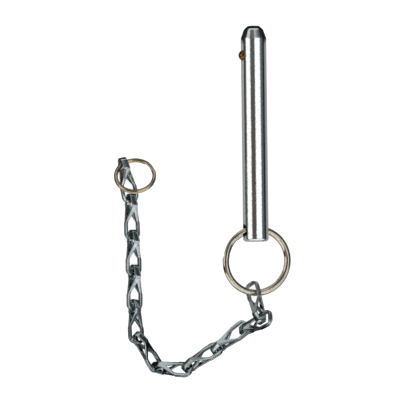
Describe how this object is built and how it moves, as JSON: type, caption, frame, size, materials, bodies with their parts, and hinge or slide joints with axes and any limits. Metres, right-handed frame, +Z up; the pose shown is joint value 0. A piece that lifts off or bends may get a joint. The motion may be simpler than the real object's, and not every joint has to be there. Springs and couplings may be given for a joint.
{
  "type": "height adjustment pin",
  "caption": "Solid round pin with a cone nose, a spring ball detent and a pull ring, tethered by a folded-link keeper chain that ends in a small split ring.",
  "frame": {"origin": "on the shank's axis, 10 mm from its plain end, where the shank's clear length starts past the cross hole", "axes": "+Y along the shank towards the nose, +Z up from the surface the pin lies on, +X to the right, away from the chain"},
  "size_m": [0.0879, 0.1743, 0.0194],
  "materials": {
    "pin_zinc": "bright zinc plate, finely mottled",
    "link_zinc": "cool bluish-grey zinc plate on stamped strip",
    "pull_ring_nickel": "warm nickel plate on flattened wire",
    "end_ring_nickel": "warm nickel plate on flattened wire",
    "ball_steel": "polished dark bearing steel",
    "spring_steel": "plain spring steel wire"
  },
  "bodies": {
    "pin": {"pin_body": "pin_zinc", "detent_spring": "spring_steel"},
    "ball": {"detent_ball": "ball_steel"},
    "pull_ring": {"pull_ring": "pull_ring_nickel"},
    "link_01": {"link_01": "link_zinc"},
    "link_02": {"link_02": "link_zinc"},
    "link_03": {"link_03": "link_zinc"},
    "link_04": {"link_04": "link_zinc"},
    "link_05": {"link_05": "link_zinc"},
    "link_06": {"link_06": "link_zinc"},
    "link_07": {"link_07": "link_zinc"},
    "link_08": {"link_08": "link_zinc"},
    "link_09": {"link_09": "link_zinc"},
    "link_10": {"link_10": "link_zinc"},
    "link_11": {"link_11": "link_zinc"},
    "end_ring": {"end_ring": "end_ring_nickel"}
  },
  "joints": [
    {"name": "ball_travel", "type": "slide", "parent": "pin", "child": "ball", "axis": [-0.9455, 0, 0.3256], "range_m": [-0.0016, 0], "stiffness_N_per_m": 3000, "springref_m": 0.002, "deforming": ["detent_spring"]},
    {"name": "ring_swing", "type": "hinge", "parent": "pin", "child": "pull_ring", "pos_m": [0, -0.0045, 0], "axis": [-0.9455, 0, 0.3256], "range_deg": [-90, 120]},
    {"name": "link_01_swing", "type": "hinge", "parent": "pull_ring", "child": "link_01", "pos_m": [-0.00151, -0.03548, -0.00126], "axis": [0.9641, -0.1142, -0.2399], "range_deg": [-75, 75]},
    {"name": "link_02_hinge", "type": "hinge", "parent": "link_01", "child": "link_02", "pos_m": [0.00126, -0.0466, 0.00421], "axis": [0.6577, 0.458, 0.5981], "range_deg": [-60, 60]},
    {"name": "link_03_hinge", "type": "hinge", "parent": "link_02", "child": "link_03", "pos_m": [-0.00432, -0.05295, 0.00015], "axis": [-0.0197, 0.8817, -0.4713], "range_deg": [-60, 60]},
    {"name": "link_04_hinge", "type": "hinge", "parent": "link_03", "child": "link_04", "pos_m": [-0.01902, -0.06232, -0.00201], "axis": [0.4869, -0.6953, 0.5286], "range_deg": [-60, 60]},
    {"name": "link_05_hinge", "type": "hinge", "parent": "link_04", "child": "link_05", "pos_m": [-0.03329, -0.07089, 0.0034], "axis": [-0.5573, 0.5183, -0.6486], "range_deg": [-60, 60]},
    {"name": "link_06_hinge", "type": "hinge", "parent": "link_05", "child": "link_06", "pos_m": [-0.0492, -0.07229, -0.00218], "axis": [-0.3537, -0.7111, 0.6077], "range_deg": [-60, 60]},
    {"name": "link_07_hinge", "type": "hinge", "parent": "link_06", "child": "link_07", "pos_m": [-0.05778, -0.05882, 0.00344], "axis": [0.5027, 0.5311, -0.6821], "range_deg": [-25, 60]},
    {"name": "link_08_hinge", "type": "hinge", "parent": "link_07", "child": "link_08", "pos_m": [-0.06079, -0.04284, -0.00078], "axis": [-0.8234, 0.1557, 0.5457], "range_deg": [-60, 60]},
    {"name": "link_09_hinge", "type": "hinge", "parent": "link_08", "child": "link_09", "pos_m": [-0.06072, -0.02546, -0.00164], "axis": [0.8189, -0.0372, -0.5728], "range_deg": [-60, 60]},
    {"name": "link_10_hinge", "type": "hinge", "parent": "link_09", "child": "link_10", "pos_m": [-0.06112, -0.00746, -0.00182], "axis": [-0.8141, 0.0152, 0.5805], "range_deg": [-60, 60]},
    {"name": "link_11_hinge", "type": "hinge", "parent": "link_10", "child": "link_11", "pos_m": [-0.06193, 0.01104, -0.00179], "axis": [0.8091, 0.0039, -0.5877], "range_deg": [-60, 60]},
    {"name": "end_ring_hinge", "type": "hinge", "parent": "link_11", "child": "end_ring", "pos_m": [-0.06572, 0.02966, -0.00179], "axis": [0.8652, 0.176, -0.4695], "range_deg": [-74, 16]}
  ]
}
